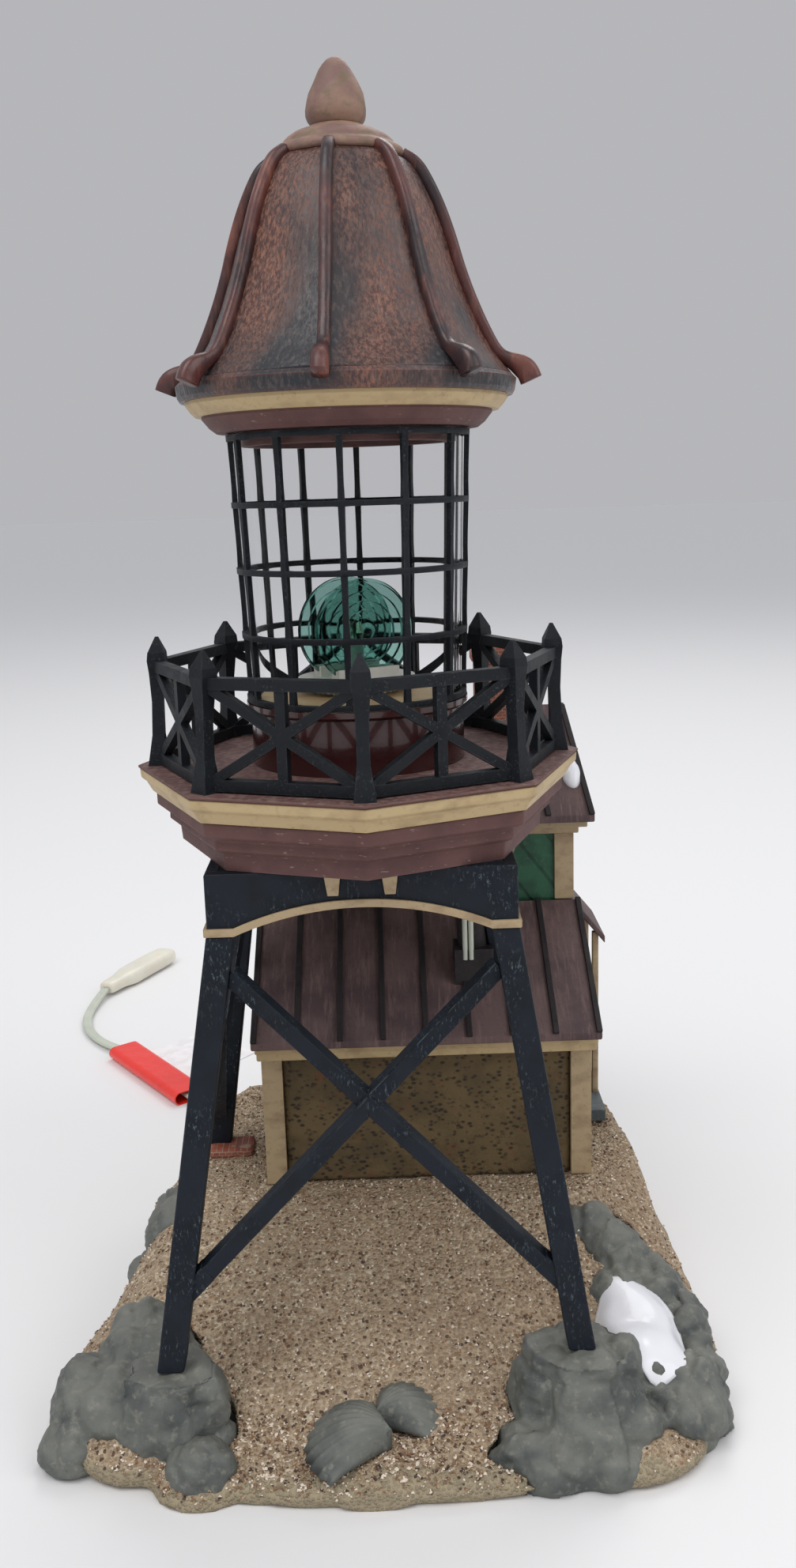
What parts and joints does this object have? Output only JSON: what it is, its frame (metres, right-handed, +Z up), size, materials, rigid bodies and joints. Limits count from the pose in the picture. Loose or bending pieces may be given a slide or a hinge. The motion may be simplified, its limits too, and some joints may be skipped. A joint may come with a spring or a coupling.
{
  "type": "lighted lighthouse ornament",
  "caption": "Skeleton-tower lighthouse ornament with a keeper's house on a sand and rock base, a glazed lantern with a turning lens and a lift-off bell roof.",
  "frame": {"origin": "tower axis at the level of the surface it stands on", "axes": "+Z up, +Y towards the back, +X to the right seen from the front"},
  "size_m": [0.2273, 0.3902, 0.3329],
  "materials": {
    "boards_green": "painted boards",
    "brick_red": "painted brick",
    "cap_tan": "tan mauve paint",
    "clear_panes": "clear moulded panes",
    "connector_nylon": "translucent nylon",
    "cream": "cream paint",
    "dome_slate": "dark slate glaze with copper dry brush",
    "drum_maroon": "glossy dark maroon paint",
    "gallery_brown": "dusty maroon brown paint",
    "gear_nylon": "white nylon",
    "grommet_rubber": "black rubber",
    "lamp_glass": "small clear lamp",
    "lead_white": "soft pale insulation",
    "lens_teal": "pressed teal lens",
    "motor_steel": "plain can",
    "railing_black": "charcoal black paint",
    "rib_copper": "copper brown paint",
    "rock_grey": "painted rock",
    "roof_brown": "matt painted resin roof",
    "sand": "glued sand over cast resin",
    "seam_black": "matt black paint",
    "sleeve_red": "red film sleeve",
    "step_grey": "grey slab",
    "stucco": "pitted painted stucco",
    "tag_white": "blank white tag",
    "tower_navy": "navy black paint, dry brushed",
    "trim_tan": "painted timber trim"
  },
  "bodies": {
    "base": {"apron_back": "tower_navy", "apron_front": "tower_navy", "apron_sides": "tower_navy", "arch_trims": "trim_tan", "brick_block": "brick_red", "chimney": "brick_red", "corbels": "trim_tan", "cord": "lead_white", "cord_connector": "connector_nylon", "cord_grommet": "grommet_rubber", "cord_sleeve": "sleeve_red", "cord_tag": "tag_white", "corner_posts": "trim_tan", "drum": "drum_maroon", "front_braces": "tower_navy", "gallery_cream_band": "cream", "gallery_floor": "gallery_brown", "gallery_moulding": "gallery_brown", "inner_lead": "lead_white", "lamp": "lamp_glass", "lantern_cage": "railing_black", "lantern_floor": "cream", "lantern_glass": "clear_panes", "lead_hood": "seam_black", "left_braces": "tower_navy", "leg_front_left": "tower_navy", "leg_front_right": "tower_navy", "leg_rear_left": "tower_navy", "leg_rear_right": "tower_navy", "lower_fascia": "trim_tan", "lower_roof": "roof_brown", "lower_roof_seams": "seam_black", "lower_walls": "stucco", "motor": "motor_steel", "rail_bays": "railing_black", "rail_posts": "railing_black", "ribbed_stone": "rock_grey", "rocks_front_left": "rock_grey", "rocks_front_right": "rock_grey", "rocks_rear_left": "rock_grey", "rocks_right": "rock_grey", "sand_base": "sand", "side_step": "step_grey", "spindle": "gear_nylon", "stone_front": "rock_grey", "upper_fascia": "trim_tan", "upper_roof": "roof_brown", "upper_roof_seams": "seam_black", "upper_walls": "boards_green"},
    "lens": {"turntable": "gear_nylon", "lens_panels": "lens_teal", "lens_holders": "gear_nylon"},
    "pinion": {"motor_pinion": "gear_nylon"},
    "roof": {"soffit_ring": "gallery_brown", "cornice": "cream", "drip_band": "dome_slate", "roof_dome": "dome_slate", "roof_ribs": "rib_copper", "roof_cap": "cap_tan", "finial": "cap_tan"}
  },
  "joints": [
    {"name": "lens_spin", "type": "hinge", "parent": "base", "child": "lens", "pos_m": [0, 0, 0.19], "axis": [0, 0, 1], "continuous": true},
    {"name": "pinion_spin", "type": "hinge", "parent": "base", "child": "pinion", "pos_m": [0, 0.01448, 0.184], "axis": [0, 0, 1], "continuous": true},
    {"name": "roof_lift", "type": "slide", "parent": "base", "child": "roof", "axis": [0, 0, 1], "range_m": [0, 0.06]}
  ],
  "couplings": [
    {"joint": "pinion_spin", "follows": "lens_spin", "ratio": -3}
  ]
}
